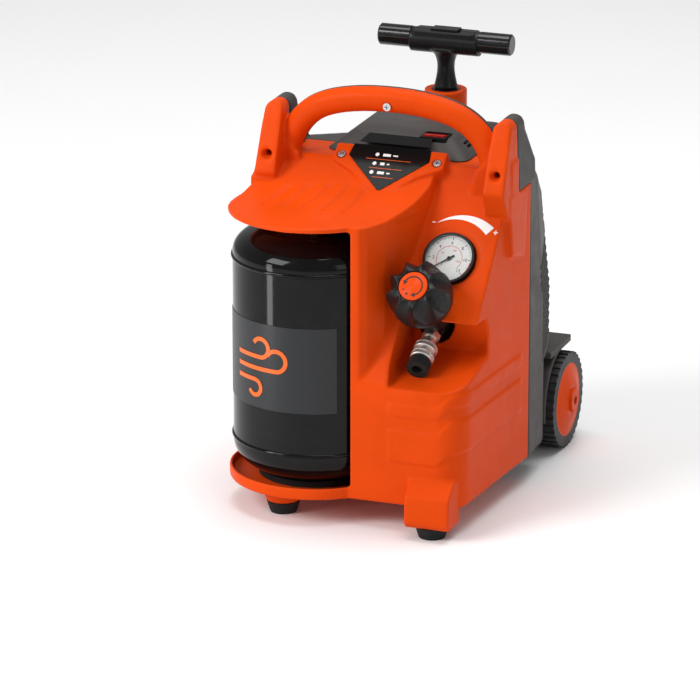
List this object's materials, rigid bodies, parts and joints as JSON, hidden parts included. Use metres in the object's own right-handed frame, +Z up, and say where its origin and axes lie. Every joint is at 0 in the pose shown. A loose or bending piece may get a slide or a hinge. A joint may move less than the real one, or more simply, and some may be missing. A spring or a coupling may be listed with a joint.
{
  "type": "air compressor",
  "caption": "Portable electric air compressor with an upright tank, reclined control panel, carry handle, pull-up T handle and two rear wheels.",
  "frame": {"origin": "on the floor, under the middle of the machine's box", "axes": "+Z up, +Y to the back (wheels and pull-up handle), +X to the right of someone facing the front"},
  "size_m": [0.28, 0.376, 0.433],
  "materials": {
    "orange_shell": "satin moulded orange plastic",
    "grey_shell": "fine-grained dark grey plastic",
    "label_film": "dark printed film",
    "zinc_screw": "zinc-plated",
    "black_enamel": "gloss black enamel",
    "rubber": "matt black rubber",
    "brass_fitting": "machined",
    "copper_pipe": "drawn copper tube",
    "air_hose": "smooth",
    "steel_ring": "wire",
    "black_plastic": "satin black",
    "grip_plastic": "glossy black",
    "red_rocker": "satin red",
    "dial_face": "printed white",
    "needle_black": "matt black paint",
    "clear_lens": "clear",
    "nickel": "nickel plated",
    "core_steel": "laminated steel",
    "winding_copper": "enamelled copper wire",
    "cast_aluminium": "sand-blasted casting",
    "shaft_steel": "ground",
    "base_steel": "black primer",
    "black_tube": "gloss black",
    "tyre_plastic": "hard dark grey rubber"
  },
  "bodies": {
    "housing": {"front_shell": "orange_shell", "rear_shell": "grey_shell", "top_cover": "grey_shell", "label_panel": "label_film", "handle_back": "grey_shell", "housing_screws": "zinc_screw", "air_tank": "black_enamel", "tank_label": "label_film", "tank_cushion": "rubber", "drain_valve": "brass_fitting", "check_valve": "brass_fitting", "delivery_pipe": "copper_pipe", "outlet_hose": "air_hose", "manifold": "brass_fitting", "safety_valve": "brass_fitting", "pressure_switch": "black_plastic", "gauge_case": "black_plastic", "gauge_dial": "dial_face", "gauge_lens": "clear_lens", "regulator_body": "black_plastic", "coupler_body": "nickel", "coupler_tip": "rubber", "stator": "core_steel", "stator_windings": "winding_copper", "motor_bracket": "cast_aluminium", "bearings": "core_steel", "crankcase": "cast_aluminium", "cylinder": "cast_aluminium", "cylinder_head": "cast_aluminium", "intake_filter": "black_plastic", "run_capacitor": "black_plastic", "pump_base": "base_steel", "pump_mounts": "rubber", "cord_gland": "black_plastic", "guide_tube": "black_tube", "handle_sleeve": "orange_shell", "lock_collar": "black_tube", "axle": "shaft_steel", "rubber_feet": "rubber"},
    "pull_handle": {"stem": "black_tube", "grip_core": "black_plastic", "hand_grips": "grip_plastic"},
    "latch": {"latch_button": "black_plastic"},
    "left_wheel": {"tyre_left": "tyre_plastic", "wheel_hub_left": "orange_shell"},
    "right_wheel": {"tyre_right": "tyre_plastic", "wheel_hub_right": "orange_shell"},
    "regulator": {"regulator_knob": "black_plastic", "knob_cap": "orange_shell"},
    "needle": {"gauge_needle": "needle_black"},
    "coupler_ring": {"coupler_sleeve": "nickel"},
    "power_rocker": {"switch_rocker": "red_rocker"},
    "drain_tap": {"drain_knob": "black_plastic"},
    "relief_pull": {"safety_pull": "steel_ring"},
    "motor_rotor": {"rotor": "core_steel", "motor_shaft": "shaft_steel", "cooling_fan": "black_plastic", "crank": "shaft_steel"},
    "pump_piston": {"piston": "cast_aluminium"}
  },
  "joints": [
    {"name": "pull_handle_slide", "type": "slide", "parent": "housing", "child": "pull_handle", "axis": [0, 0, 1], "range_m": [0, 0.24]},
    {"name": "latch_press", "type": "slide", "parent": "pull_handle", "child": "latch", "axis": [0, 0, -1], "range_m": [0, 0.0025], "stiffness_N_per_m": 600},
    {"name": "left_wheel_spin", "type": "hinge", "parent": "housing", "child": "left_wheel", "pos_m": [-0.1155, 0.138, 0.05], "axis": [1, 0, 0], "continuous": true},
    {"name": "right_wheel_spin", "type": "hinge", "parent": "housing", "child": "right_wheel", "pos_m": [0.1155, 0.138, 0.05], "axis": [1, 0, 0], "continuous": true},
    {"name": "regulator_turn", "type": "hinge", "parent": "housing", "child": "regulator", "pos_m": [0.068, -0.13163, 0.23133], "axis": [0, -0.809, 0.5878], "range_deg": [-720, 720]},
    {"name": "gauge_needle_turn", "type": "hinge", "parent": "housing", "child": "needle", "pos_m": [0.08, -0.08843, 0.26051], "axis": [0, -0.809, 0.5878], "range_deg": [-270, 0], "stiffness_Nm_per_rad": 0.0002},
    {"name": "coupler_ring_slide", "type": "slide", "parent": "housing", "child": "coupler_ring", "axis": [0, 0.8829, 0.4695], "range_m": [0, 0.004], "stiffness_N_per_m": 900},
    {"name": "power_rocker_tilt", "type": "hinge", "parent": "housing", "child": "power_rocker", "pos_m": [0.033, 0.006, 0.351], "axis": [1, 0, 0], "range_deg": [0, 8]},
    {"name": "drain_tap_turn", "type": "hinge", "parent": "housing", "child": "drain_tap", "pos_m": [-0.054, -0.102, 0.018], "axis": [0, 0, 1], "range_deg": [0, 360]},
    {"name": "relief_pull_lift", "type": "slide", "parent": "housing", "child": "relief_pull", "axis": [0, 0, 1], "range_m": [0, 0.003], "stiffness_N_per_m": 900},
    {"name": "rotor_spin", "type": "hinge", "parent": "housing", "child": "motor_rotor", "pos_m": [-0.04, 0.054, 0.156], "axis": [1, 0, 0], "continuous": true},
    {"name": "piston_stroke", "type": "slide", "parent": "housing", "child": "pump_piston", "axis": [0, 0, 1], "range_m": [0, 0.018]}
  ]
}
